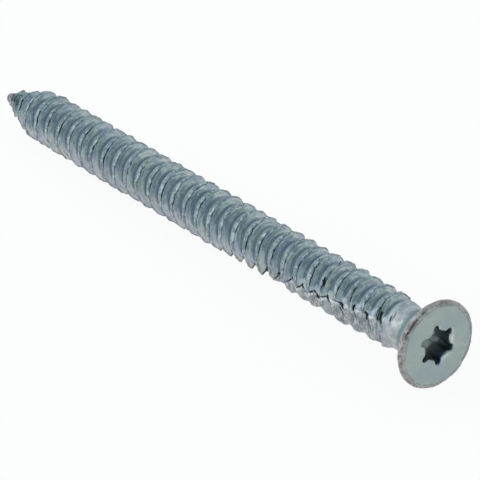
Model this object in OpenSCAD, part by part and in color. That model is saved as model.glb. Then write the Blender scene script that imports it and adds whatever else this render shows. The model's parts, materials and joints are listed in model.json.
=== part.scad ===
// Countersunk concrete screw with a six-lobe drive, lying on its head's rim and its thread.
// Millimetres, +Z up. The head is at +X and the origin is under the middle of the screw.

/* [Overall] */
// Length over all, from the tip to the face of the head
overall_length = 96; // [70:1:140]

/* [Head] */
// Diameter of the head at its rim
head_d = 12.2; // [11:0.1:14]
// Included angle of the countersunk cone
cone_angle = 90; // [80:1:100]
// Height of the straight land round the rim
rim_land = 0.42; // [0.2:0.02:0.8]
// Width of the rounded edge between the rim and the face
face_edge_w = 0.6; // [0.3:0.05:1]
// Height of the rounded edge between the rim and the face
face_edge_h = 0.4; // [0.2:0.05:0.8]
// Depth of the shallow flats round the rim, assumed so that the lying head rests on one and can't roll
flat_depth = 0.04; // [0.02:0.005:0.045]

/* [Neck] */
// Diameter of the plain neck under the head
neck_d = 6.3; // [5.9:0.05:6.8]
// Radius of the fillet where the neck runs into the cone
neck_fillet = 2.4; // [0.4:0.1:3]
// Length over which the neck narrows into the root of the thread
neck_taper = 1.8; // [1:0.1:3]

/* [Thread] */
// Diameter over the crests of the thread
thread_d = 7.5; // [7:0.1:8.5]
// Depth of the thread from crest to root
thread_depth = 0.95; // [0.8:0.05:1.2]
// Distance from one crest to the next, along the axis
pitch = 2.71; // [2.3:0.01:3.2]
// Width of the flat along the crest
crest_land = 0.4; // [0.3:0.05:0.7]
// Width of the flat along the root
root_land = 0.2; // [0.1:0.05:0.4]
// Width of the steep flank that faces the head, along the axis
head_flank = 0.65; // [0.4:0.05:0.9]
// Distance from the face of the head to the end of the thread's run-out
thread_end = 6.5; // [6:0.1:9]
// Length over which the crest fades into the neck
runout_length = 3.1; // [1.5:0.1:5]
// Distance from the face of the head to a groove, along the underside, which sets the thread's turn
groove_at = 12.3; // [10:0.1:15]

/* [Tip] */
// Length of the tapered tip
tip_length = 8.6; // [5:0.2:10]
// Diameter of the blunt end
tip_d = 1.4; // [0.8:0.1:2]
// Height of the rounded end in front of the first groove
nose_h = 0.45; // [0.2:0.05:0.8]

/* [Drive recess] */
// Diameter across the lobes of the six-lobe recess
recess_lobes_d = 5.7; // [5.3:0.05:6]
// Diameter across the hollows between the lobes
recess_hollows_d = 4; // [3.7:0.05:4.3]
// Radius of each lobe's round end
lobe_r = 0.46; // [0.36:0.02:0.5]
// Depth of the full recess
recess_depth = 3; // [2.4:0.1:3.2]
// Depth of the cone at the bottom of the recess
recess_cone_h = 0.7; // [0.3:0.1:1]

/* [Rolling seam] */
// Depth of the notches where the rolling seam crosses the crests
notch_depth = 0.45; // [0.1:0.05:0.7]
// Length of the row of notches, from the end of the thread
seam_length = 30; // [10:1:50]
// Place of the last notch round the axis, in degrees from the underside
seam_angle = 240; // [180:5:300]
// Twist of the row round the axis, in degrees for each millimetre
seam_twist = 1.8; // [0:0.1:3]

/* [Hidden] */

facets_per_turn = 24;
turn_step = 360 / facets_per_turn;
arc_steps = 5;
// Thread ends this far under the neck's surface, and the neck starts as far under the root
bury = 0.2;

head_r = head_d / 2;
face_r = head_r - face_edge_w;
neck_r = neck_d / 2;
thread_r = thread_d / 2;
core_r = thread_r - thread_depth;
tip_r = tip_d / 2;
half_cone = cone_angle / 2;

// Levels along the axis, from the tip at 0 to the face of the head
rim_top = overall_length - face_edge_h;
rim_bottom = rim_top - rim_land;
cone_bottom = rim_bottom - (head_r - neck_r) / tan(half_cone);
fillet_level = cone_bottom - neck_fillet * tan(half_cone / 2);
thread_top = overall_length - thread_end;
runout_start = thread_top - runout_length;
neck_bottom = runout_start + neck_taper / 2;

// Places of the profile's corners, along the axis from the start of the groove
tip_flank = pitch - root_land - crest_land - head_flank;
profile = [0, root_land, root_land + tip_flank, pitch - head_flank];
corners = len(profile);

// The helix runs both ways from the groove that sets its turn: back to the blunt end, and on until
// a whole turn of it has faded into the neck
groove_level = overall_length - groove_at;
column_rise = pitch / facets_per_turn;
columns_back = floor((groove_level - nose_h) / column_rise);
columns_on = ceil((thread_top + head_flank - groove_level) / column_rise);
columns = columns_back + columns_on;

// The screw lies on a flat of the rim and on the first full crest, so its axis leans a little
rim_rest_r = head_r - flat_depth;
rim_rest_level = rim_bottom - flat_depth / tan(half_cone);
crest_edge = groove_level + profile[3];
full_edge = crest_edge - pitch * floor((crest_edge - tip_length) / pitch);
rest_level = full_edge - crest_land >= tip_length ? full_edge - crest_land : full_edge;
rest_r = thread_r * cos(turn_step / 2);
lean = atan((rim_rest_r - rest_r) / (rim_rest_level - rest_level));
rest_height = rim_rest_r * cos(lean) - rim_rest_level * sin(lean);
middle = (overall_length * cos(lean) + face_r * sin(lean)) / 2;

// Share of a rise from 0 at a to 1 at b
function ramp(z, a, b) = min(1, max(0, (z - a) / (b - a)));

// Radius of the root and of the crest at a level
function root_radius(z) = tip_r + (core_r - tip_r) * ramp(z, 0, tip_length);
function fading(r, z) = r + (neck_r - bury - r) * ramp(z, runout_start, thread_top);
function crest_radius(z) = fading(tip_r + (thread_r - tip_r) * ramp(z, 0, tip_length), z);

// A column of the helix is notched where the rolling seam crosses its crest
function column_angle(i) = (i - columns_back + 0.5) * turn_step;
function column_level(i) = groove_level + pitch * column_angle(i) / 360;
// An angle brought between -180 and 180
function fold(a) = a - 360 * round(a / 360);
function seam_place(z) = seam_angle + seam_twist * (thread_top - z);
function off_seam(i, z) = abs(fold(column_angle(i) - seam_place(z)));
function on_seam(i, z) = z > thread_top - seam_length && off_seam(i, z) <= turn_step / 2;
function notch(i, z) = on_seam(i, z) ? notch_depth * (1 - ramp(z, runout_start, thread_top)) : 0;

function around(r, angle, z) = [r * cos(angle), r * sin(angle), z];
function thread_point(i, j) =
    let (z = column_level(i) + profile[j])
    let (r = j < 2 ? fading(root_radius(z), z) : crest_radius(z) - notch(i, z))
    around(r, column_angle(i), z);

// Index of a corner of a column, where the corner after the last is the next turn's first
function at(i, j) = j < corners ? i * corners + j : (i + facets_per_turn) * corners;

// Core and thread as one closed helical surface, with a blunt end and an end buried in the neck
module threaded_shank() {
    last = columns - 1;
    inner = columns - facets_per_turn;
    nose = columns * corners;
    apex = nose + facets_per_turn;
    far_end = apex + 1;

    points = [
        for (i = [0 : last]) for (j = [0 : corners - 1]) thread_point(i, j),
        for (i = [0 : facets_per_turn - 1]) around(tip_r, column_angle(i), nose_h),
        [0, 0, 0],
        [0, 0, thread_top + pitch / 2]
    ];
    flanks = [
        for (i = [0 : last - 1])
            for (j = [0 : corners - 1])
                if (j < corners - 1 || i < inner - 1)
                    for (half = [0, 1])
                        half == 0 ? [at(i, j), at(i, j + 1), at(i + 1, j)]
                                  : [at(i + 1, j), at(i, j + 1), at(i + 1, j + 1)]
    ];
    blunt_end = [
        for (i = [0 : facets_per_turn - 1])
            let (a = nose + i)
            let (b = nose + (i + 1) % facets_per_turn)
            each [[apex, a, b], [a, at(i, 0), b], [b, at(i, 0), at(i + 1, 0)]]
    ];
    thread_start = [[nose, at(facets_per_turn, 0), for (j = [corners - 1 : -1 : 0]) at(0, j)]];
    buried_end = [
        for (i = [inner - 1 : last - 1]) [far_end, at(i + 1, corners - 1), at(i, corners - 1)],
        for (j = [0 : corners - 2]) [far_end, at(last, j), at(last, j + 1)],
        [far_end, at(inner - 1, corners - 1), at(last, 0)]
    ];
    polyhedron(points, concat(flanks, blunt_end, thread_start, buried_end), convexity = 10);
}

// Head, cone, fillet and neck, turned as one outline, with the flats cut round the rim
module head_and_neck() {
    flat_corner_r = rim_rest_r / cos(turn_step / 2);
    neck = [
        [0, neck_bottom - neck_taper],
        [core_r - bury, neck_bottom - neck_taper],
        [neck_r, neck_bottom]
    ];
    fillet = [
        for (k = [0 : arc_steps])
            let (a = half_cone * k / arc_steps)
            [neck_r + neck_fillet * (1 - cos(a)), fillet_level + neck_fillet * sin(a)]
    ];
    face_edge = [
        for (k = [0 : arc_steps])
            let (a = 90 * k / arc_steps)
            [face_r + face_edge_w * cos(a), rim_top + face_edge_h * sin(a)]
    ];
    flat_corners = [
        for (k = [0 : facets_per_turn - 1])
            let (a = (k + 0.5) * turn_step)
            [flat_corner_r * cos(a), flat_corner_r * sin(a)]
    ];
    intersection() {
        rotate_extrude($fn = 96)
            polygon(concat(
                neck,
                fillet,
                [[head_r, rim_bottom]],
                face_edge,
                [[0, overall_length]]
            ));
        linear_extrude(overall_length + 1)
            polygon(flat_corners);
    }
}

// Outline of the six-lobe recess, with the lobes run into the hollows between them
module six_lobes() {
    lobe_at = recess_lobes_d / 2 - lobe_r;
    hollow_r = lobe_at - lobe_r;
    for (k = [0 : 5])
        rotate(60 * k)
            translate([lobe_at, 0])
                circle(lobe_r, $fn = 32);
    difference() {
        circle(lobe_at, $fn = 64);
        for (k = [0 : 5])
            rotate(60 * k + 30)
                translate([recess_hollows_d / 2 + hollow_r, 0])
                    circle(hollow_r, $fn = 48);
    }
}

// Drive recess, with a drill-pointed bottom
module drive_recess() {
    floor_level = overall_length - recess_depth;
    translate([0, 0, floor_level])
        linear_extrude(recess_depth + 1)
            six_lobes();
    translate([0, 0, floor_level - recess_cone_h])
        cylinder(recess_cone_h, r1 = 0, r2 = recess_hollows_d / 2, $fn = 48);
}

module screw() {
    color("lightsteelblue")
        translate([-middle, 0, rest_height])
            rotate([0, 90 - lean, 0])
                difference() {
                    union() {
                        head_and_neck();
                        threaded_shank();
                    }
                    drive_recess();
                }
}

screw();
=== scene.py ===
"""Looks of a zinc-plated countersunk concrete screw, lying on its head's rim and its thread.

Shapes are worked out in millimetres along the screw's own axis: level 0 is the tip, and angle 0
is the underside. They are laid in the frame, in metres, when the mesh is made.
"""
import json
import math

import bpy
import numpy as np
from mathutils import Matrix, Vector


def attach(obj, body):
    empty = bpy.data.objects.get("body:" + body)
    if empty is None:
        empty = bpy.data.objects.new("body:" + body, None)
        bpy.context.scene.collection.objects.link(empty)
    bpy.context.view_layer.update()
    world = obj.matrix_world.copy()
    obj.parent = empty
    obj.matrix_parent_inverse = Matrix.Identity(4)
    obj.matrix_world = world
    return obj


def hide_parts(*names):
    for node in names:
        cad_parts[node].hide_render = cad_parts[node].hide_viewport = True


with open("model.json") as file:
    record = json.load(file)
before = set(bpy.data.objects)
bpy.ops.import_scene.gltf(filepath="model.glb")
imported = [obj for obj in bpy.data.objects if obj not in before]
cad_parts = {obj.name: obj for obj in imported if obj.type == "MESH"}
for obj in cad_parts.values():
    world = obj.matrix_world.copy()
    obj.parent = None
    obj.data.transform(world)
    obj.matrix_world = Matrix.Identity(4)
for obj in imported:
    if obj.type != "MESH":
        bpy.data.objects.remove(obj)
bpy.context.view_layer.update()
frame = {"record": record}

# Sizes of the screw, as its solid has them
LENGTH = 96.0
HEAD_R = 6.1
CONE_HALF = math.radians(45)
RIM_LAND = 0.42
EDGE_W = 0.6
EDGE_H = 0.4
NECK_R = 3.15
NECK_FILLET = 2.4
THREAD_R = 3.75
CORE_R = 2.8
PITCH = 2.71
GROOVE_LEVEL = LENGTH - 12.3
TIP_LENGTH = 8.6
TIP_R = 0.7
NOSE = 0.45
LOBES_R = 2.85
HOLLOWS_R = 2.0
LOBE_R = 0.46
RECESS_DEPTH = 3.0
RECESS_CONE = 0.7

# How it lies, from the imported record: the middle of the head's face, the way from the tip to it, and
# the ways from the axis to the underside and sideways
RECESS_MOUNT = next(mount for mount in frame["record"]["mounts"] if mount["name"] == "drive_recess")
FACE_MIDDLE = np.array(RECESS_MOUNT["pos_m"]) * 1000
AXIS = np.array(RECESS_MOUNT["axis"])
TIP = FACE_MIDDLE - LENGTH * AXIS
UNDERSIDE = np.array([AXIS[2], 0, -AXIS[0]])
SIDEWAYS = np.array([0, 1, 0])

# Levels along the axis. The thread's skin ends and the head's skin begins at the neck's level
RIM_TOP = LENGTH - EDGE_H
RIM_BOTTOM = RIM_TOP - RIM_LAND
CONE_BOTTOM = RIM_BOTTOM - (HEAD_R - NECK_R) / math.tan(CONE_HALF)
FILLET_LEVEL = CONE_BOTTOM - NECK_FILLET * math.tan(CONE_HALF / 2)
NECK_LEVEL = 89.8
FACE_R = HEAD_R - EDGE_W

# Angles of the two sides that the dies pressed hardest, where the crests are also painted lighter as a
# highlight, and of the underside and top, which get a painted sheen
PRESSED = 230
PRESSED_BACK = 50
PALE_UNDER = 305
PALE_TOP = 148
# The painted shade at the crumpled tip is darkest at this angle, and the painted shade in the grooves is
# narrowest at the other
DARK_TIP = 222
LIGHT_GROOVE = 150
# A painted shade line along the rear edge of the crests lies about this angle, at this place on the ridge
REAR_EDGE = 162
REAR_EDGE_AT = 1.41

# The blunt end stands off the axis by this much, towards this angle, and is straight from this level
TIP_BEND = 0.17
TIP_BEND_ANGLE = math.radians(319)
TIP_BEND_END = 7.0

# One turn of the thread from groove to groove: place along the axis, and height from root to crest
RIDGE = [
    (0.00, 0.00), (0.10, 0.00), (0.22, 0.02), (0.42, 0.12), (0.66, 0.29), (0.90, 0.47),
    (1.12, 0.66), (1.32, 0.83), (1.50, 0.93), (1.66, 0.98), (1.80, 1.00), (1.92, 0.99),
    (2.00, 0.965), (2.04, 0.935), (2.05, 0.895), (2.03, 0.79), (2.08, 0.785), (2.16, 0.735),
    (2.28, 0.58), (2.40, 0.40), (2.52, 0.22), (2.63, 0.07),
]
ROWS = len(RIDGE)
CREST_AT = 1.85
# Rows of the rolled-over fold at the edge of the crest: how dark its painted shade is, and how much higher
# when closed
FOLD_DARK = {13: 0.1, 14: 1.0, 15: 1.0, 16: 0.9, 17: 0.15}
FOLD_LIFT = {14: 0.02, 15: 0.09, 16: 0.04}

# Columns round the screw stand closer on the side where the rolling seam runs
CLOSE_FROM = 130.0
CLOSE_TO = 330.0
COLUMNS_CLOSE = 88
COLUMNS_WIDE = 32
TURN = np.concatenate([
    np.linspace(CLOSE_TO - 360, CLOSE_FROM, COLUMNS_WIDE, endpoint=False),
    np.linspace(CLOSE_FROM, CLOSE_TO, COLUMNS_CLOSE, endpoint=False),
])
TURN = np.sort(TURN % 360)
COLUMNS = len(TURN)
HEAD_COLUMNS = 180

# The rolling seam: angles at each level where the crests end and where the grooves between them end
SEAM = [
    # level, crest end, groove end
    (30.0, 392, 384), (50.0, 345, 325), (58.0, 323, 302), (61.0, 318, 296), (64.5, 309, 287),
    (66.5, 302, 283), (68.0, 295, 280), (70.0, 286, 273), (71.5, 281, 269), (73.8, 276, 266),
    (76.8, 266, 262), (79.0, 256, 259), (82.0, 247, 253), (85.0, 242, 248), (88.2, 237, 245),
    (90.0, 234, 244),
]
SEAM_LEVELS, CREST_ENDS, GROOVE_ENDS = zip(*SEAM)
# Place on the ridge where a crest reaches farthest across the seam
TONGUE_AT = 1.5
# How far the blocks below the seam lean along the axis, for each millimetre round the screw, by level
BLOCK_LEANS = [
    (66, 0.85), (71, 0.80), (73.4, 0.70), (75.7, 0.52), (78.4, 0.50), (81, 0.52), (83.5, 0.57),
]
LEAN_LEVELS, LEANS = zip(*BLOCK_LEANS)
# From one of these angles to the other the blocks lean back, by this much for each millimetre
BEND_FROM = 302
BEND_TO = 350
LEAN_BACK = 0.75

# Cracks: depth and half width in millimetres, how dark their painted shade is, and the points on their way,
# by level and angle
CRACKS = [
    (0.16, 0.21, 1.0, [(76.23, 225), (76.44, 229.5), (76.57, 237), (76.50, 247), (76.37, 253)]),
    (0.10, 0.12, 0.9, [(75.85, 233), (76.30, 232)]),
    (0.20, 0.14, 1.0, [(73.22, 195), (73.38, 201)]),
    (0.18, 0.13, 1.0, [(75.85, 174), (75.98, 179)]),
    (0.14, 0.28, 1.0, [(70.05, 267), (70.65, 277)]),
    (0.07, 0.11, 1.0, [(69.10, 284), (69.75, 274), (70.10, 267)]),
    (0.07, 0.11, 1.0, [(70.90, 287.5), (71.88, 276), (72.31, 269)]),
    (0.14, 0.30, 1.0, [(72.31, 269), (72.39, 275.5)]),
    (0.10, 0.18, 1.0, [(72.39, 275.5), (73.02, 281.5)]),
    (0.07, 0.11, 1.0, [(73.05, 281.5), (73.90, 277), (74.46, 270), (74.86, 266)]),
    (0.14, 0.30, 1.0, [(74.86, 266), (75.16, 271), (75.56, 273)]),
    (0.10, 0.18, 1.0, [(75.56, 273), (76.09, 275)]),
    (0.07, 0.11, 1.0, [(76.02, 270.5), (76.74, 267), (77.45, 260)]),
    (0.12, 0.20, 1.0, [(77.50, 259), (77.44, 264.5), (77.9, 265)]),
    (0.12, 0.28, 1.0, [(77.9, 265), (78.2, 266)]),
    (0.10, 0.16, 1.0, [(78.2, 266), (78.73, 268.5)]),
    (0.08, 0.10, 0.85, [(78.69, 258.5), (79.45, 259), (80.04, 257.5), (80.49, 256.5)]),
    (0.12, 0.28, 1.0, [(80.49, 256.5), (81.05, 259)]),
    (0.08, 0.18, 1.0, [(81.05, 259), (81.39, 262)]),
    (0.12, 0.28, 1.0, [(82.75, 248), (82.80, 253), (82.89, 256)]),
    (0.08, 0.18, 0.9, [(83.30, 254), (83.55, 257.5)]),
    (0.06, 0.12, 0.6, [(84.41, 243.5), (84.83, 249), (85.08, 246.5)]),
    (0.12, 0.24, 1.0, [(85.20, 246.5), (85.44, 248.5), (85.51, 253), (85.59, 258)]),
    (0.06, 0.16, 0.6, [(85.80, 258), (86.20, 263)]),
    (0.10, 0.14, 1.0, [(87.41, 221), (87.17, 231.5), (87.32, 239), (87.61, 245)]),
    (0.10, 0.17, 1.0, [(87.76, 227), (87.84, 236), (88.03, 243), (88.34, 250)]),
    (0.06, 0.34, 0.58, [(87.51, 222.5), (87.50, 232), (87.68, 239), (88.08, 247)]),
    (0.08, 0.12, 0.5, [(89.61, 194.5), (89.43, 213), (89.45, 225.5)]),
    (0.08, 0.13, 0.8, [(89.45, 225.5), (89.62, 237)]),
]

# The head: levels of the neck's rings, a smudge on the neck with its width in degrees, and the angles
# of the darker patches on the rim's edge
NECK_RINGS = (NECK_LEVEL + 0.2, 90.3, 90.6, 90.9, 91.2, 91.5)
SMUDGE_AT = 254
SMUDGE_LEVEL = 90.8
SMUDGE_W = 6.36
RIM_DARK_AT = 228
RIM_DARK_TOP = 196
# The crease that parts the rolled rim from the face is deepest at these angles
CREASE_AT = 226
CREASE_LOW = 306
# Its rings: place past the edge of the face, height from the face, how much of it is rim, and how dark its
# painted shade is
CREASE = (
    (0.03, -0.012, 0.85, 0.55),
    (-0.04, -0.045, 0.6, 1.0),
    (-0.12, -0.02, 0.2, 0.7),
    (-0.22, 0.0, 0.05, 0.0),
    (-0.4, 0.0, 0.0, 0.0),
)
# The face is flat from there inwards
FLAT_FACE_R = FACE_R + CREASE[-1][0]
# Rings of the face: share of the way out from the recess, and how light its painted highlight is
FACE_RINGS = ((0.75, 0.0), (0.5, 0.0), (0.28, 0.0), (0.12, 0.5), (0.04, 0.9))
# Angles at which the edge of the recess gets a painted highlight
GLINT_AT = 94
GLINT_LOW = 34
# The recess is turned by this angle, and its mouth is wider by this much
RECESS_TURN = 4
MOUTH_W = 0.16
# Its rings: depth, how much wider than the recess, and how dark the recess is painted as shade (lighter
# again above 1, where the floor is painted pale as if lit)
RECESS_RINGS = (
    (0.0, MOUTH_W, 0.0),
    (0.05, 0.12, 0.0),
    (0.12, 0.06, 0.05),
    (0.20, 0.02, 0.5),
    (0.35, 0.0, 0.95),
    (0.8, 0.0, 1.0),
    (1.5, 0.0, 1.1),
    (2.2, -0.01, 1.3),
    (2.8, -0.02, 1.5),
)
# Rings of its floor: share of the radius, and depth
FLOOR_RINGS = ((0.97, 2.95), (0.86, 3.0), (0.6, 3.2), (0.3, 3.5))
FLOOR_R = 2.6
# Rings of the blunt end: level, and share of its radius
NOSE_RINGS = ((0.30, 0.93), (0.16, 0.78), (0.06, 0.52), (0.015, 0.26))
# Edges sharper than this stay sharp
SHARP_FROM = math.radians(52)


def lattice(i, j, k, seed):
    """Fixed values from -1 to 1 at whole-number points."""
    n = (i * 73856093) ^ (j * 19349663) ^ (k * 83492791) ^ (seed * 40503)
    n &= 0xFFFFFFFF
    n = ((n ^ (n >> 15)) * 2246822519) & 0xFFFFFFFF
    n = ((n ^ (n >> 13)) * 3266489917) & 0xFFFFFFFF
    return (n ^ (n >> 16)) / 2.0**31 - 1


def unevenness(x, y, z, size, seed):
    """Smooth unevenness from -1 to 1, with bumps of about that size in millimetres."""
    cells, shares = [], []
    for v in (x, y, z):
        v = np.asarray(v, float) / size
        cell = np.floor(v).astype(np.int64)
        part = v - cell
        cells.append(cell)
        shares.append(part * part * (3 - 2 * part))
    total = 0.0
    for corner in range(8):
        at, weight = [], 1.0
        for axis in range(3):
            far = corner >> axis & 1
            at.append(cells[axis] + far)
            weight = weight * (shares[axis] if far else 1 - shares[axis])
        total = total + weight * lattice(*at, seed)
    return total


def ramp(v, low, high):
    """A straight rise from 0 at low to 1 at high."""
    return np.clip((np.asarray(v, float) - low) / (high - low), 0, 1)


def step(v, low, high):
    """A soft rise from 0 at low to 1 at high."""
    t = ramp(v, low, high)
    return t * t * (3 - 2 * t)


def bump(v, middle, width):
    """A soft bump that is 1 at the middle and about a third one width away."""
    return np.exp(-(((np.asarray(v, float) - middle) / width) ** 2))


def around(angle, middle):
    """Angle from the middle one, between -180 and 180 degrees."""
    return (angle - middle + 180) % 360 - 180


def beside(angle, middle, width):
    """A soft bump round the screw, with its middle and width in degrees."""
    return bump(around(angle, middle), 0, width)


def off_phase(along, middle):
    """Distance along the axis from the nearest turn's own middle place, in millimetres."""
    return np.abs((along - middle + PITCH / 2) % PITCH - PITCH / 2)


def neck_light(angle):
    """How strongly the neck's pale colour shows as painted light: about half as much on the far side and
    the top as in front.
    """
    return 0.45 + 0.55 * step(angle, 175, 225)


def cracks(angle, level):
    """How deep the cracks go, and how dark the painted shade in them is."""
    spot = (THREAD_R * np.cos(np.radians(angle)), THREAD_R * np.sin(np.radians(angle)), level)
    uneven = np.clip(0.95 + 0.55 * unevenness(*spot, 0.45, 27), 0.4, 1.5)
    depths, darkness = np.zeros_like(level), np.zeros_like(level)
    for depth, half, tone, points in CRACKS:
        for (z0, a0), (z1, a1) in zip(points, points[1:]):
            run = np.array([z1 - z0, math.radians(a1 - a0) * THREAD_R])
            dz = level - z0
            da = np.radians(around(angle, a0)) * THREAD_R
            share = np.clip((dz * run[0] + da * run[1]) / (run @ run), 0, 1)
            mark = bump(np.hypot(dz - share * run[0], da - share * run[1]), 0, half * uneven)
            depths = np.maximum(depths, depth * mark)
            darkness = np.maximum(darkness, tone * mark)
    return depths, darkness


class Thread:
    """The thread's skin, in rows along the ridge and columns round the screw, rolled step by step."""

    def __init__(self):
        first = math.floor(-GROOVE_LEVEL / PITCH) - 1
        last = math.ceil((NECK_LEVEL - GROOVE_LEVEL) / PITCH) + 1
        row = np.arange(first * ROWS, last * ROWS + 1)[:, None]
        turn, place = row // ROWS, row % ROWS
        self.angle = np.broadcast_to(TURN[None, :], (len(row), COLUMNS))
        self.cosine = np.cos(np.radians(self.angle))
        self.sine = np.sin(np.radians(self.angle))
        self.along = np.array([p[0] for p in RIDGE])[place]
        self.height = np.broadcast_to(np.array([p[1] for p in RIDGE])[place], self.angle.shape)
        self.fold_dark = np.array([FOLD_DARK.get(k, 0.0) for k in range(ROWS)])[place]
        self.fold_lift = np.array([FOLD_LIFT.get(k, 0.0) for k in range(ROWS)])[place]
        self.groove = GROOVE_LEVEL + PITCH * (turn + self.angle / 360)
        self.ridge = (THREAD_R * self.cosine, THREAD_R * self.sine, self.groove)

        self.fold_crests()
        self.press_blocks()
        self.set_radius()
        self.roughen()
        depth, self.crack = cracks(self.angle, self.level)
        self.radius = self.radius - depth

    def fold_crests(self):
        """The crest wanders, and where the dies pressed hardest it is folded over at its edge."""
        ridge = self.ridge
        self.pressed = beside(self.angle, PRESSED, 36) + 0.7 * beside(self.angle, PRESSED_BACK, 40)
        wander = 0.09 * unevenness(*ridge, 2.1, 3) + 0.08 * unevenness(*ridge, 0.75, 4)
        wander = wander + 0.04 * unevenness(*ridge, 0.33, 24)
        opening = 0.70 + 0.50 * unevenness(*ridge, 1.7, 5) + 0.40 * unevenness(*ridge, 0.6, 6)
        opening = opening * (0.08 + 0.98 * self.pressed)
        opening = opening * (0.85 + 0.5 * unevenness(*ridge, 0.28, 21))
        self.opening = np.clip(opening, 0, 1)
        self.level = self.groove + self.along + wander * bump(self.along, CREST_AT, 0.45)
        self.height = self.height + self.fold_lift * (1 - self.opening)

    def past_seam(self, wedge_at):
        """Way round from the rolling seam in millimetres, positive towards the underside, and which
        points lie on the rear side of a crest's tongue."""
        rise = TONGUE_AT - wedge_at
        from_wedge = (self.along - wedge_at) % PITCH
        rear = from_wedge > rise
        crestward = np.where(rear, (PITCH - from_wedge) / (PITCH - rise), from_wedge / rise)
        crest_end = np.interp(self.level, SEAM_LEVELS, CREST_ENDS)
        groove_end = np.interp(self.level, SEAM_LEVELS, GROOVE_ENDS)
        seam_at = groove_end + (crest_end - groove_end) * crestward
        return np.radians(around(self.angle, seam_at)) * THREAD_R, rear

    def press_blocks(self):
        """Below the seam the ridges are wide, low and blocky, and more so towards the head."""
        level, along = self.level, self.along
        spot = (THREAD_R * self.cosine, THREAD_R * self.sine, level)
        wedge_at = 0.15 - 0.35 * step(level, 70, 75)
        past, rear = self.past_seam(wedge_at)
        past = past - 0.10 * unevenness(*spot, 0.5, 7)
        seam_here = step(level, 34, 54) * (1 - step(level, 88.2, 89.4))
        in_reach = 1 - step(past, 4.6, 6.6)
        blocky = step(past, 0.0, 0.12) * in_reach * seam_here
        # Along the screw the blocks first grow full, then come flush with the crests, then near the head
        full = step(level, 61, 68)
        flush = step(level, 68, 72)
        headward = step(level, 75, 80)
        height = self.height
        height = height + (0.72 - height) * 0.65 * step(past, -1.4, -0.1) * flush * seam_here

        turned_back = np.maximum(np.radians(self.angle - BEND_FROM) * THREAD_R, 0) * (self.angle < BEND_TO)
        lean = np.interp(level, LEAN_LEVELS, LEANS) * np.clip(past - turned_back, 0, 5)
        lean = lean - LEAN_BACK * turned_back
        ragged = unevenness(*spot, 0.6, 8)
        off_groove = off_phase(along - lean, wedge_at) + 0.08 * ragged
        into_block = (along - lean - wedge_at + 0.1 * ragged) % PITCH / PITCH
        rounded = step(into_block, 0.0, 0.22) * (1 - 0.75 * step(into_block, 0.35, 1.0))
        gap = 0.40 - 0.22 * step(level, 68, 76)
        top = 0.04 + 0.26 * full + 0.26 * flush + (0.10 + 0.20 * full) * step(past, gap, gap + 0.5)
        top = top + (0.25 * step(past, 0.9, 2.0) + 0.12 * step(past, 1.8, 3.2))
        top = np.minimum(top + 0.25 * headward, 0.95) + 0.08 * unevenness(*spot, 1.1, 9)
        bottom = 0.02 + 0.04 * full + 0.24 * flush + 0.16 * headward
        block_height = bottom + np.maximum(top - bottom, 0) * rounded
        self.height = height + (block_height - height) * blocky
        self.between = 1 - step(off_groove, 0.04, 0.38 + 0.14 * headward)

        # Towards the tip the seam is an open split with a wedge in each groove, both sunk and painted with
        # shade. Cracks take over later
        split = bump(past, 0.12, 0.20) * (1 - 0.9 * headward) * (1.0 + 0.4 * unevenness(*spot, 0.9, 17))
        self.split = split * seam_here * np.where(rear, 1.0, 0.3) * (1 - step(level, 68.0, 69.2))
        wedge = bump(past, -0.05, 0.45) * bump(off_phase(along, wedge_at - 0.22), 0, 0.30)
        self.wedge = wedge * seam_here * (1 - step(level, 68.5, 69.5))

        grey = headward * step(past, -0.5, 0.9) * in_reach * seam_here
        self.grey = np.maximum(blocky * (1 - headward), grey)
        # Painted highlight along the upper edges of the blocks
        self.lip = bump(past, 0.48, 0.24) * step(level, 60, 66) * seam_here
        # Painted shade line between the blocks
        self.block_edge = (0.44 + 0.07 * headward) * self.between * blocky * flush
        self.blocky = blocky

    def set_radius(self):
        """Radius from the height on the ridge, tapered at the tip and run out into the neck."""
        root = TIP_R + (CORE_R - TIP_R) * ramp(self.level, 0.2, TIP_LENGTH) ** 1.3
        crest = TIP_R + (THREAD_R - TIP_R) * ramp(self.level, 0.7, TIP_LENGTH) ** 0.85
        radius = root + (crest - root) * self.height
        radius = radius - (0.10 * self.split + 0.14 * self.wedge)
        self.fade = step(self.level, 87.9, NECK_LEVEL)
        self.radius = radius + (NECK_R - radius) * self.fade

    def roughen(self):
        """Rolled metal is rough on the crests, drawn out along the flanks and crumpled at the tip."""
        ridge, along, level = self.ridge, self.along, self.level
        self.spot = spot = (self.radius * self.cosine, self.radius * self.sine, level)
        edge = 1.35 + 0.25 * unevenness(*ridge, 0.9, 10)
        band = step(along, edge - 0.25, edge + 0.25) * (1 - step(along, 2.02, 2.06))
        self.band = band * (1 - self.blocky)
        rough = np.maximum(self.band * (0.45 + 0.55 * self.pressed), 0.9 * self.blocky)
        fine = unevenness(*spot, 0.36, 11) + 0.6 * unevenness(*spot, 0.19, 12)
        broad = unevenness(*spot, 1.2, 13)
        drawn = unevenness(ridge[0] / 3, ridge[1] / 3, along + 1.7 * self.groove, 0.30, 16)
        radius = self.radius + 0.036 * fine * rough + 0.022 * broad + 0.024 * broad * rough + 0.024 * drawn
        jagged = 0.09 * unevenness(*ridge, 1.5, 19) + 0.10 * unevenness(*ridge, 0.6, 20)
        jagged = jagged + 0.08 * unevenness(*ridge, 0.3, 23)
        radius = radius + jagged * step(self.height, 0.55, 0.95)
        crumple = (1 - step(level, 3.0, 11.0)) * step(level, 0.3, 1.2)
        lumps = 0.24 * unevenness(*spot, 1.1, 14) + 0.17 * unevenness(*spot, 0.5, 15)
        self.radius = radius + crumple * lumps

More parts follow.
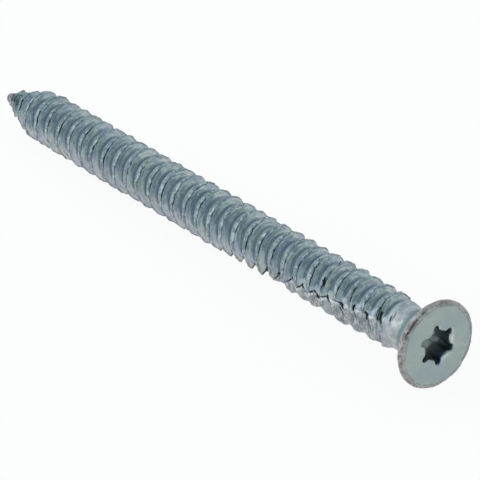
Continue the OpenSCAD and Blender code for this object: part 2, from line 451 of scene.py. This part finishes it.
    def marks(self):
        """Marks for the plating, by name."""
        angle, level, along = self.angle, self.level, self.along
        ridge, spot = self.ridge, self.spot
        valley = 1 - step(self.height, 0.30, 0.75)
        near_tip = step(level, 1.0, 1.8) * (1 - step(level, 4.4, 6.4)) * beside(angle, DARK_TIP, 55)
        # Painted shade at the crumpled tip: dark bits in its valleys and a darker patch over all of it
        crumpled = near_tip * (0.5 + 0.5 * valley) * step(unevenness(*spot, 0.32, 25), 0.0, 0.4)
        tip_shade = (0.62 - 0.14 * step(level, 3.2, 4.2)) * near_tip
        tip_shade = tip_shade * (0.85 + 0.4 * unevenness(*spot, 0.7, 28))
        # Painted shade in the folds, where they are open
        folded = self.fold_dark * self.opening * (1 - self.blocky) * (1 - self.fade)
        # Painted shade in folds, cracks, the split, the wedges, the crumpled tip and between the blocks
        dark = [folded, self.crack, self.split, self.wedge, crumpled, tip_shade, self.block_edge]

        # Painted shade in the grooves, narrow about the LIGHT_GROOVE angle, with a shade line at the
        # crests' rear edge and painted shade at the tip
        shaded = 1 - step(self.height, 0.02, 0.24 - 0.11 * beside(angle, LIGHT_GROOVE, 45))
        # Painted shade line where the crests' rear edge hides the groove behind
        rear_edge_shade = bump(along, REAR_EDGE_AT, 0.15) * beside(angle, REAR_EDGE, 36)
        rear_edge_shade = rear_edge_shade * (0.75 + 0.5 * unevenness(*ridge, 0.5, 26))
        shaded = np.maximum.reduce([shaded, rear_edge_shade, near_tip * (0.7 + 0.3 * valley)])
        # Between the blocks below the seam the grooves get painted shade instead
        shaded = np.maximum(shaded * (1 - self.blocky), self.between * self.blocky)

        # Painted highlight on the crests: strongest on the pressed side, where the left lamp's highlight
        # falls, weaker on the opposite side, in patches and not near the tip
        lit_strength = (0.8 + 0.5 * unevenness(*ridge, 3.1, 18)) * step(level, 4, 13)
        lit_side = beside(angle, PRESSED, 24) + 0.8 * beside(angle, PRESSED_BACK, 30)
        patchy = step(unevenness(*spot, 0.8, 22), -0.4, 0.4)
        crest = self.band * (0.02 + lit_side * lit_strength) * (0.35 + 0.65 * patchy)
        return {
            "crest": np.clip(crest, 0, 1) * (1 - self.fade),
            "fold": np.clip(np.maximum.reduce(dark), 0, 1),
            "root": shaded * (1 - self.fade),
            "seam": self.grey,
            "lip": self.lip,
            "tip": 1 - step(level, 0.8, 2.2),
            "lay": np.broadcast_to(along, level.shape),
            # Painted sheen on the underside and, weaker, on the top
            "blush": np.maximum(beside(angle, PALE_UNDER, 45), 0.5 * beside(angle, PALE_TOP, 22)),
            "neck": step(level, 88.6, NECK_LEVEL) * neck_light(angle),
        }


def tip_bend(level):
    """How far the blunt end stands off the axis."""
    return TIP_BEND * (1 - ramp(level, 0, TIP_BEND_END)) ** 2


class Skin:
    """Points, faces and marks of one closed skin, gathered piece by piece."""

    MARKS = (
        "crest", "fold", "root", "seam", "lip", "tip", "lay", "blush", "neck", "rim", "face", "drive",
    )

    def __init__(self):
        self.points, self.faces = [], []
        self.marks = {name: [] for name in self.MARKS}
        self.count = 0

    def add(self, angle, level, radius, **marks):
        """Adds points given by angle in degrees, level and radius, and returns their numbers."""
        angle, level, radius = np.broadcast_arrays(np.radians(angle), level, radius)
        bend = tip_bend(level)
        x = radius * np.cos(angle) + bend * math.cos(TIP_BEND_ANGLE)
        y = radius * np.sin(angle) + bend * math.sin(TIP_BEND_ANGLE)
        self.points.append(np.stack([x, y, level], -1).reshape(-1, 3))
        for name in self.MARKS:
            mark = np.broadcast_to(marks.get(name, 0.0), angle.shape)
            self.marks[name].append(np.asarray(mark, float).reshape(-1))
        numbers = self.count + np.arange(angle.size).reshape(angle.shape)
        self.count += angle.size
        return numbers

    def strip(self, low, high):
        """Joins two rings of the same number of points."""
        for a, b, c, d in zip(low, np.roll(low, -1), np.roll(high, -1), high):
            self.faces.append((a, b, c, d))

    def zip_rings(self, low, low_angles, high, high_angles):
        """Joins two rings with different numbers of points, both in order of their angles."""
        i = j = 0
        while i < len(low) or j < len(high):
            next_low = low_angles[i + 1] if i + 1 < len(low) else low_angles[0] + 360
            next_high = high_angles[j + 1] if j + 1 < len(high) else high_angles[0] + 360
            if j >= len(high) or (i < len(low) and next_low <= next_high):
                self.faces.append((low[i], low[(i + 1) % len(low)], high[j % len(high)]))
                i += 1
            else:
                self.faces.append((low[i % len(low)], high[(j + 1) % len(high)], high[j]))
                j += 1

    def close(self, ring, tip, outward):
        """Closes a ring with a fan of triangles to one point."""
        for a, b in zip(ring, np.roll(ring, -1)):
            self.faces.append((a, b, tip) if outward else (b, a, tip))


def add_thread(skin):
    """The thread, cut off flat where the nose and the neck begin. Returns its two end rings."""
    thread = Thread()
    level = thread.level
    # All that comes before the last point under the nose's level belongs to the nose, and so at the neck
    low = np.maximum.accumulate((level <= NOSE)[::-1])[::-1]
    high = np.maximum.accumulate(level >= NECK_LEVEL)
    inside = ~(low | high)
    marks = {name: mark[inside] for name, mark in thread.marks().items()}
    numbers = np.full(level.shape, -1)
    numbers[inside] = skin.add(thread.angle[inside], level[inside], thread.radius[inside], **marks)
    turn = np.radians(TURN)
    nose_r = TIP_R * (1 + 0.06 * unevenness(np.cos(turn), np.sin(turn), 0 * turn, 0.7, 21))
    nose = skin.add(TURN, NOSE, nose_r, tip=1.0)
    neck = skin.add(TURN, NECK_LEVEL, NECK_R, neck=neck_light(TURN))
    numbers[low] = np.broadcast_to(nose, level.shape)[low]
    numbers[high] = np.broadcast_to(neck, level.shape)[high]
    # The last column of a turn meets the first column of the next turn
    next_turn = np.concatenate([numbers[ROWS:, :1], np.full((ROWS, 1), neck[0])])
    wrapped = np.concatenate([numbers, next_turn], axis=1)
    for k in range(len(level) - 1):
        for c in range(COLUMNS):
            ring = (wrapped[k, c], wrapped[k, c + 1], wrapped[k + 1, c + 1], wrapped[k + 1, c])
            corners = tuple(dict.fromkeys(ring))
            if len(corners) > 2:
                skin.faces.append(corners)
    return nose, neck


def add_nose(skin, nose):
    """Rounded blunt end."""
    rings = [nose]
    for level, share in NOSE_RINGS:
        rings.append(skin.add(TURN, level, TIP_R * share, tip=1.0))
    for high, low in zip(rings, rings[1:]):
        skin.strip(low, high)
    end = skin.add(0.0, 0.0, 0.0, tip=1.0)
    skin.close(rings[-1], int(end), False)


def head_outline():
    """Radius and level along the neck, the fillet, the cone, the rim and its rounded edge."""
    outline = [(NECK_R, level) for level in NECK_RINGS]
    for k in range(7):
        a = CONE_HALF * k / 6
        outline.append((NECK_R + NECK_FILLET * (1 - math.cos(a)), FILLET_LEVEL + NECK_FILLET * math.sin(a)))
    cone_r, cone_z = outline[-1]
    for share in (0.3, 0.6, 0.8, 0.95):
        outline.append((cone_r + (HEAD_R - cone_r) * share, cone_z + (RIM_BOTTOM - cone_z) * share))
    outline.append((HEAD_R - 0.01, RIM_BOTTOM + 0.03))
    outline.append((HEAD_R, RIM_BOTTOM + 0.12))
    outline.append((HEAD_R, RIM_BOTTOM + 0.27))
    for k in range(7):
        a = math.radians(90 * k / 7)
        outline.append((FACE_R + EDGE_W * math.cos(a), RIM_TOP + EDGE_H * math.sin(a)))
    return outline


def six_lobes(angle, grow=0.0):
    """Radius of the six-lobe outline at an angle, grown outwards by a width."""
    off = np.radians((np.asarray(angle, float) - RECESS_TURN + 30) % 60 - 30)
    lobe_at = LOBES_R - LOBE_R
    r = LOBE_R + grow
    hollow_r = lobe_at - LOBE_R - grow
    hollow_at = HOLLOWS_R + lobe_at - LOBE_R
    reach = r**2 - (lobe_at * np.sin(off)) ** 2
    lobe = np.where(reach > 0, lobe_at * np.cos(off) + np.sqrt(np.maximum(reach, 0)), 0)
    side = np.radians(30) - np.abs(off)
    reach = hollow_r**2 - (hollow_at * np.sin(side)) ** 2
    hollow = np.where(reach > 0, hollow_at * np.cos(side) - np.sqrt(np.maximum(reach, 0)), HEAD_R)
    return np.maximum(lobe, np.minimum(hollow, lobe_at))


def outer_rings(skin, turn, cosine, sine):
    """Rings of the neck, the cone, the dented rim and its rounded edge with darker patches, and painted
    shade on the fillet and the foot of the cone.
    """
    rings = []
    for r, z in head_outline():
        spot = (r * cosine, r * sine, z + 0 * turn)
        rim = float(step(r, 5.4, 6.0)) * float(step(z, RIM_BOTTOM - 0.6, RIM_BOTTOM))
        on_neck = (1 - step(z, FILLET_LEVEL - 0.1, FILLET_LEVEL + 0.9)) * neck_light(turn)
        dents = 0.045 * unevenness(*spot, 0.55, 31) + 0.04 * unevenness(*spot, 1.5, 32) - 0.02
        waves = 0.025 * unevenness(*spot, 1.3, 33) * float(step(z, NECK_LEVEL, 90.6))
        smudge = beside(turn, SMUDGE_AT, SMUDGE_W) * bump(z, SMUDGE_LEVEL, 0.3)
        # Darker patches on the rim's rounded edge, most about these two angles
        rim_darkness = 0.45 * unevenness(*spot, 0.6, 34) + 0.95 * beside(turn, RIM_DARK_AT, 24)
        rim_darkness = rim_darkness + 0.35 * beside(turn, RIM_DARK_TOP, 18)
        rim_dark = rim * step(rim_darkness, 0.30, 0.95)
        on_edge = float(step(z, RIM_TOP - 0.1, RIM_TOP + 0.2))
        # Painted shade on the fillet and the foot of the cone
        shade = 0.75 * float(step(z, 91.0, 91.7)) * (1 - float(step(z, 92.6, 93.8)))
        rings.append(skin.add(
            turn, z, r + rim * dents + (1 - rim) * waves - 0.05 * smudge,
            rim=rim,
            neck=on_neck,
            root=shade,
            fold=np.maximum(0.48 * smudge, 0.54 * rim_dark * on_edge),
            # Painted sheen on the head's underside
            blush=0.5 * beside(turn, PALE_UNDER, 45),
            lay=z - NECK_LEVEL,
        ))
    return rings


def face_rings(skin, turn, cosine, sine):
    """Rings of the crease inside the rim, and of the face down to the mouth of the recess."""
    rings = []
    creased = 0.08 + 0.30 * beside(turn, CREASE_AT, 30) + 0.2 * beside(turn, CREASE_LOW, 12)
    creased = creased + 0.25 * unevenness(FACE_R * cosine, FACE_R * sine, 0 * turn, 0.8, 35)
    creased = np.clip(creased, 0, 1)
    for past_edge, z, rim, dark in CREASE:
        level = LENGTH + z * (0.4 + creased)
        # The crease is sunk and painted with shade, both most where it is deepest
        rings.append(skin.add(turn, level, FACE_R + past_edge, rim=rim, fold=dark * creased, face=1 - rim))
    mouth = six_lobes(turn, MOUTH_W)
    glinting = beside(turn, GLINT_AT, 15) + 0.8 * beside(turn, GLINT_LOW, 15)
    for share, light in FACE_RINGS:
        radius = mouth + (FLAT_FACE_R - mouth) * share
        rings.append(skin.add(turn, LENGTH, radius, face=1.0, lip=light * glinting))
    return rings


def recess_rings(skin, turn, cosine, sine):
    """Rings of the recess, from its chamfered mouth to its floor, with painted shade down its walls and the
    floor painted pale as if lit.
    """
    rings = []
    broken_up = step(unevenness(2.5 * cosine, 2.5 * sine, 0 * turn, 0.8, 36), -0.5, 0.3)
    for depth, grow, drive in RECESS_RINGS:
        # Painted highlight on the chamfer of the mouth, broken up in places
        lip = 0.9 * bump(depth, 0.08, 0.07) * broken_up
        radius = six_lobes(turn, grow)
        rings.append(skin.add(turn, LENGTH - depth, radius, drive=drive, lip=lip, face=max(1 - drive, 0)))
    floor_r = np.minimum(six_lobes(turn, -0.03), FLOOR_R)
    # The floor is painted pale, as if lit
    for share, depth in FLOOR_RINGS:
        rings.append(skin.add(turn, LENGTH - depth, share * floor_r, drive=1.85))
    return rings


def add_head(skin, neck):
    """Neck, cone, rim, face and drive recess above the thread's end."""
    turn = np.arange(HEAD_COLUMNS) * 360 / HEAD_COLUMNS
    cosine, sine = np.cos(np.radians(turn)), np.sin(np.radians(turn))
    rings = outer_rings(skin, turn, cosine, sine)
    skin.zip_rings(neck, TURN, rings[0], turn)
    rings += face_rings(skin, turn, cosine, sine)
    rings += recess_rings(skin, turn, cosine, sine)
    for low, high in zip(rings, rings[1:]):
        skin.strip(low, high)
    bottom = skin.add(0.0, LENGTH - RECESS_DEPTH - RECESS_CONE, 0.0, drive=1.9)
    skin.close(rings[-1], int(bottom), True)


def make_screw():
    """The whole screw as one closed mesh, laid in the frame, with its marks."""
    skin = Skin()
    nose, neck = add_thread(skin)
    add_nose(skin, nose)
    add_head(skin, neck)
    x, y, z = np.concatenate(skin.points).T[:, :, None]
    laid = (TIP + z * AXIS + x * UNDERSIDE + y * SIDEWAYS) / 1000
    mesh = bpy.data.meshes.new("zinc_screw")
    mesh.from_pydata(laid.tolist(), [], [tuple(int(i) for i in f) for f in skin.faces])
    mesh.validate()
    for name in skin.MARKS:
        layer = mesh.attributes.new(name, "FLOAT", "POINT")
        layer.data.foreach_set("value", np.concatenate(skin.marks[name]).astype(np.float32))
    mesh.polygons.foreach_set("use_smooth", [True] * len(mesh.polygons))
    mesh.set_sharp_from_angle(angle=SHARP_FROM)
    mesh.update()
    piece = bpy.data.objects.new("zinc_screw", mesh)
    bpy.context.scene.collection.objects.link(piece)
    return piece


class Value:
    """A number or colour that varies over a surface. Sums on it add Math nodes."""

    def __init__(self, graph, socket):
        self.graph, self.socket = graph, socket

    def maths(self, operation, *values):
        """The result of one Math node."""
        return self.graph.node("ShaderNodeMath", {"operation": operation}, dict(enumerate(values)))[0]

    def __add__(self, other):
        return self.maths("ADD", self, other)

    def __sub__(self, other):
        return self.maths("SUBTRACT", self, other)

    def __rsub__(self, other):
        return self.maths("SUBTRACT", other, self)

    def __mul__(self, other):
        return self.maths("MULTIPLY", self, other)

    __radd__ = __add__
    __rmul__ = __mul__

    def at_most(self, other):
        """The smaller of this and another."""
        return self.maths("MINIMUM", self, other)

    def at_least(self, other):
        """The larger of this and another."""
        return self.maths("MAXIMUM", self, other)

    def rise(self, low, high):
        """A soft rise from 0 at low to 1 at high."""
        settings = {"interpolation_type": "SMOOTHSTEP"}
        return self.graph.node("ShaderNodeMapRange", settings, {0: self, 1: low, 2: high})[0]


class Graph:
    """A node tree that is written as expressions."""

    def __init__(self, tree):
        self.tree = tree
        self.marks = {}
        tree.nodes.clear()

    def node(self, kind, settings=None, sockets=None):
        """Adds a node, sets its settings and then its sockets, and returns its outputs."""
        made = self.tree.nodes.new(kind)
        for name, value in (settings or {}).items():
            setattr(made, name, value)
        for name, value in (sockets or {}).items():
            if isinstance(value, Value):
                self.tree.links.new(value.socket, made.inputs[name])
            else:
                made.inputs[name].default_value = value
        return [Value(self, socket) for socket in made.outputs]

    def mark(self, name):
        """A mark painted on the mesh."""
        if name not in self.marks:
            self.marks[name] = self.node("ShaderNodeAttribute", {"attribute_name": name})[2]
        return self.marks[name]

    def place(self):
        """Place on the object, in its own metres."""
        return self.node("ShaderNodeTexCoord")[3]

    def rays(self):
        """Which rays come straight from the camera, off something glossy, and through glass."""
        outputs = self.node("ShaderNodeLightPath")
        return outputs[0], outputs[3], outputs[6]

    def grain(self, size, detail, seed):
        """Cloudy grain with clouds of about that size in millimetres."""
        sockets = {"Vector": self.place(), "W": seed, "Scale": 1000 / size, "Detail": detail}
        return self.node("ShaderNodeTexNoise", {"noise_dimensions": "4D"}, sockets)[0]

    def drawn_lines(self, width, reach, seed=0.0):
        """Lines drawn out along the ridges, of about that width and reach in millimetres."""
        scale = 1000 / reach
        # The noise multiplies W by its scale as well, so the width is divided by it here
        across = self.mark("lay") * (1 / (width * scale)) + seed
        sockets = {"Vector": self.place(), "W": across, "Scale": scale, "Detail": 2.0}
        return self.node("ShaderNodeTexNoise", {"noise_dimensions": "4D"}, sockets)[0]

    def blend(self, share, first, second):
        """From the first colour to the second as share goes from 0 to 1."""
        return self.node("ShaderNodeMix", {"data_type": "RGBA"}, {0: share, 6: first, 7: second})[2]


def srgb(*parts):
    """A colour given as it looks on a screen, 0 to 255, as a linear one."""
    linear = [p / 255 for p in parts]
    linear = [p / 12.92 if p <= 0.04045 else ((p + 0.055) / 1.055) ** 2.4 for p in linear]
    return (*linear, 1.0)


class Grains:
    """Grain of the plating: clouds of several sizes, and lines drawn out along the ridges."""

    def __init__(self, g):
        self.cloud = g.grain(3.2, 3.0, 1.0)
        self.patch = g.grain(0.9, 3.0, 2.0)
        self.chips = g.grain(0.45, 3.0, 6.0)
        self.speckle = g.grain(0.26, 2.0, 3.0)
        self.grit = g.grain(0.19, 2.0, 5.0)
        self.fine = g.grain(0.08, 2.0, 4.0)
        self.lines = g.drawn_lines(0.16, 1.3)
        self.bands = g.drawn_lines(0.5, 2.4, 7.0)


def blue_plating(g, grains):
    """Bluish plating with drawn lines, painted paler as if lit on the flank towards the tip, and with a
    painted sheen on the underside and the top.
    """
    lay, patch, speckle = g.mark("lay"), grains.patch, grains.speckle
    lines, bands = grains.lines, grains.bands
    plate = g.blend(grains.cloud.rise(0.35, 0.65), srgb(167, 190, 188), srgb(190, 204, 197))
    plate = g.blend(bands.rise(0.44, 0.60) * 0.6, plate, srgb(148, 160, 186))
    plate = g.blend(speckle.rise(0.50, 0.62) * 0.40, plate, srgb(200, 210, 208))
    plate = g.blend((1 - speckle).rise(0.50, 0.62) * 0.35, plate, srgb(108, 132, 140))
    plate = g.blend(lines.rise(0.48, 0.58) * 0.6, plate, srgb(106, 132, 139))
    # Painted light on the flank that faces the tip, in patches
    lit_tip_flank = lay.rise(0.25, 0.5) * (1 - lay.rise(1.2, 1.5))
    lit_flank_tone = g.blend(bands.rise(0.42, 0.60), srgb(180, 197, 202), srgb(186, 189, 206))
    plate = g.blend(lit_tip_flank * (0.15 + (1 - patch).rise(0.44, 0.56) * 0.55), plate, lit_flank_tone)
    # Painted sheen on the underside, pale and pinkish like the white table mirrored there; the same mark
    # paints the top paler
    underside = g.blend(patch.rise(0.38, 0.62), srgb(186, 193, 196), srgb(202, 197, 199))
    underside = g.blend(bands.rise(0.46, 0.60) * 0.7, underside, srgb(180, 186, 204))
    underside = g.blend(lines.rise(0.48, 0.60) * 0.45, underside, srgb(132, 146, 152))
    return g.blend(g.mark("blush") * 0.8, plate, underside)


def rolled_thread(g, grains, plate):
    """Painted shade in the grooves, rough crests painted lighter as a highlight and broken up by chips, and
    the grey blocks below the seam.
    """
    lay, root, speckle = g.mark("lay"), g.mark("root"), grains.speckle
    # Painted shade in the grooves, dark teal to navy
    groove = g.blend(grains.bands.rise(0.42, 0.58), srgb(88, 113, 117), srgb(80, 96, 127))
    plate = g.blend(root * 0.7, plate, groove)
    # Crests painted lighter in speckles, as a highlight
    lit_crest = g.blend(speckle.rise(0.40, 0.60), srgb(132, 146, 150), srgb(194, 199, 196))
    plate = g.blend(g.mark("crest") * 0.85, plate, lit_crest)
    on_crest = lay.rise(1.25, 1.5) * (1 - lay.rise(2.0, 2.1))
    plate = g.blend(on_crest * grains.chips.rise(0.44, 0.55) * 0.7, plate, srgb(98, 118, 126))
    block = g.blend(grains.patch.rise(0.38, 0.60), srgb(150, 154, 156), srgb(198, 199, 196))
    block = g.blend(grains.lines.rise(0.46, 0.56) * 0.75, block, srgb(120, 126, 130))
    block = g.blend(speckle.rise(0.54, 0.64) * 0.4, block, srgb(104, 108, 110))
    block = g.blend((1 - speckle).rise(0.54, 0.64) * 0.5, block, srgb(216, 218, 215))
    return g.blend(g.mark("seam") * (1 - root) * 0.85, plate, block)


def neck_head_and_tip(g, grains, plate):
    """Neck painted paler as if lit, dull face, brownish rim with wear, brownish knob of the tip, and the
    recess painted dark as shade.
    """
    patch = grains.patch
    # The neck painted paler as if lit, more in front than on the top and far side
    lit_neck = g.blend(patch.rise(0.3, 0.7), srgb(149, 155, 155), srgb(196, 197, 196))
    plate = g.blend(g.mark("neck") * 0.9, plate, lit_neck)
    flat_face = g.blend(grains.cloud.rise(0.35, 0.65), srgb(158, 172, 173), srgb(166, 178, 173))
    plate = g.blend(g.mark("face") * 0.9, plate, flat_face)
    worn_rim = g.blend(patch.rise(0.36, 0.62), srgb(152, 144, 140), srgb(194, 188, 184))
    worn_rim = g.blend(grains.grit.rise(0.52, 0.60) * 0.75, worn_rim, srgb(92, 86, 82))
    plate = g.blend(g.mark("rim") * 0.92, plate, worn_rim)
    knob = g.blend(grains.speckle.rise(0.40, 0.60), srgb(120, 112, 114), srgb(176, 164, 164))
    plate = g.blend(g.mark("tip") * 0.8, plate, knob)
    # The recess painted dark, as shade
    return g.blend(g.mark("drive").at_most(1) * 0.85, plate, srgb(50, 64, 80))


def glints_and_shade(g, grains, plate):
    """Painted highlights on lips and edges, the floor of the recess painted pale as if lit, and over all
    the dark of the fold mark: painted shade in folds and cracks, with a smudge and the rim's dark patches.
    """
    # Painted highlights, speckled except on the face
    bright = g.mark("lip") * (grains.speckle.rise(0.42, 0.56) + g.mark("face")).at_most(1)
    plate = g.blend(bright * 0.92, plate, srgb(226, 230, 230))
    # The recess floor painted pale, as if lit
    plate = g.blend((g.mark("drive") - 1).at_least(0), plate, srgb(204, 214, 206))
    # The fold mark: painted shade in folds, cracks, gaps and the crease, with a smudge on the neck and dark
    # patches on the rim
    return g.blend(g.mark("fold").rise(0.28, 0.75) * 0.95, plate, srgb(20, 24, 27))


def zinc_plate():
    """Dull zinc with a bluish passivation, rough on the crests and brownish on the rim."""
    material = bpy.data.materials.new("zinc_plate")
    material.use_nodes = True
    g = Graph(material.node_tree)
    grains = Grains(g)
    plate = blue_plating(g, grains)
    plate = rolled_thread(g, grains, plate)
    plate = neck_head_and_tip(g, grains, plate)
    plate = glints_and_shade(g, grains, plate)

    crest, seam, rim, speckle = g.mark("crest"), g.mark("seam"), g.mark("rim"), grains.speckle
    dull = crest * 0.12 + seam * 0.10 + rim * 0.14 + g.mark("fold") * 0.25 + g.mark("tip") * 0.08
    roughness = 0.46 + dull.at_most(0.3) + speckle * 0.12
    coarse = speckle * (0.3 + crest * 2.4 + seam * 1.2 + rim * 1.2)
    height = grains.fine * 0.4 + coarse + grains.patch * 0.5 + grains.lines * 0.8
    relief = g.node("ShaderNodeBump", None, {"Strength": 0.9, "Distance": 0.00006, "Height": height})[0]
    sockets = {"Base Color": plate, "Metallic": 0.88, "Roughness": roughness, "Normal": relief}
    shader = g.node("ShaderNodeBsdfPrincipled", None, sockets)[0]
    g.node("ShaderNodeOutputMaterial", None, {"Surface": shader})
    return material


WHITE = (1, 1, 1, 1)


def pale_floor():
    """A white table that shows the screw's soft shadow."""
    material = bpy.data.materials.new("pale_floor")
    material.use_nodes = True
    g = Graph(material.node_tree)
    from_camera, off_gloss, through_glass = g.rays()
    seen = from_camera.at_least(off_gloss).at_least(through_glass)
    matt = g.node("ShaderNodeBsdfDiffuse", None, {"Color": (0.9, 0.9, 0.9, 1)})[0]
    white = g.node("ShaderNodeEmission", None, {"Color": WHITE, "Strength": 1.0})[0]
    mixed = g.node("ShaderNodeMixShader", None, {0: seen * 0.92, 1: matt, 2: white})[0]
    g.node("ShaderNodeOutputMaterial", None, {"Surface": mixed})
    return material


def backdrop():
    """A white backdrop where it is seen or mirrored from behind, and a dim bluish room elsewhere."""
    world = bpy.data.worlds.new("studio")
    world.use_nodes = True
    g = Graph(world.node_tree)
    from_camera, off_gloss, through_glass = g.rays()
    way = g.node("ShaderNodeTexCoord")[0]
    x, y, z = g.node("ShaderNodeSeparateXYZ", None, {0: way})
    behind = (y + x * 0.15).rise(0.36, 0.74)
    shown = from_camera.at_least(through_glass).at_least(off_gloss * behind)
    dark_side = x.rise(0.6, 0.9) * z.rise(0.15, 0.45)
    walls = g.blend(z.rise(0.5, 0.75) * 0.58, (0.62, 0.72, 0.80, 1), (0.16, 0.21, 0.24, 1))
    walls = g.blend(dark_side, walls, (0.15, 0.20, 0.22, 1))
    room = g.node("ShaderNodeBackground", None, {"Color": walls, "Strength": 1.0})[0]
    white = g.node("ShaderNodeBackground", None, {"Color": WHITE, "Strength": 1.0})[0]
    mixed = g.node("ShaderNodeMixShader", None, {0: shown, 1: room, 2: white})[0]
    g.node("ShaderNodeOutputWorld", None, {"Surface": mixed})
    return world


# Half the width of the table, in metres
TABLE_REACH = 1.5
LAMPS = (
    # name, place and size in metres, power in watts
    ("lamp_over", (-0.05, 0.20, 0.55), 0.5, 0.6),
    ("lamp_left", (-0.42, -0.36, 0.30), 0.75, 1.75),
)


def studio():
    """White table and backdrop, a dim room behind the camera, and large soft lamps."""
    scene = bpy.context.scene
    scene.view_settings.view_transform = "Standard"
    scene.world = backdrop()

    corners = [(x * TABLE_REACH, y * TABLE_REACH, 0) for x, y in ((-1, -1), (1, -1), (1, 1), (-1, 1))]
    floor_mesh = bpy.data.meshes.new("floor")
    floor_mesh.from_pydata(corners, [], [(0, 1, 2, 3)])
    floor = bpy.data.objects.new("floor", floor_mesh)
    scene.collection.objects.link(floor)
    floor.data.materials.append(pale_floor())

    for name, place, size, power in LAMPS:
        light = bpy.data.lights.new(name, "AREA")
        light.shape, light.size, light.energy = "DISK", size, power
        lamp = bpy.data.objects.new(name, light)
        lamp.location = place
        lamp.rotation_euler = (-Vector(place)).to_track_quat("-Z", "Y").to_euler()
        scene.collection.objects.link(lamp)


# The photograph's view: its angles, and the camera's place from the middle of the head's face
AZIMUTH = math.radians(52.184)
ELEVATION = math.radians(29.07)
CAMERA_LEFT = 25.285
CAMERA_UP = 13.513
CAMERA_BACK = 475.981
SENSOR_W = 36
FOCAL_LENGTH = 279.36
NEAR_CLIP = 0.01


def camera():
    """Looks from the head's side, a little above, from about half a metre."""
    out = math.cos(ELEVATION)
    back = Vector((math.sin(AZIMUTH) * out, -math.cos(AZIMUTH) * out, math.sin(ELEVATION)))
    right = Vector((math.cos(AZIMUTH), math.sin(AZIMUTH), 0))
    up = back.cross(right)
    place = Vector(FACE_MIDDLE) - CAMERA_LEFT * right + CAMERA_UP * up + CAMERA_BACK * back
    data = bpy.data.cameras.new("camera")
    data.sensor_width, data.lens, data.clip_start = SENSOR_W, FOCAL_LENGTH, NEAR_CLIP
    eye = bpy.data.objects.new("camera", data)
    turned = Matrix((right, up, back)).transposed().to_4x4()
    eye.matrix_world = Matrix.Translation(place / 1000) @ turned
    bpy.context.scene.collection.objects.link(eye)
    bpy.context.scene.camera = eye


screw = make_screw()
screw.data.materials.append(zinc_plate())
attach(screw, "root")
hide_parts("screw")
studio()
camera()
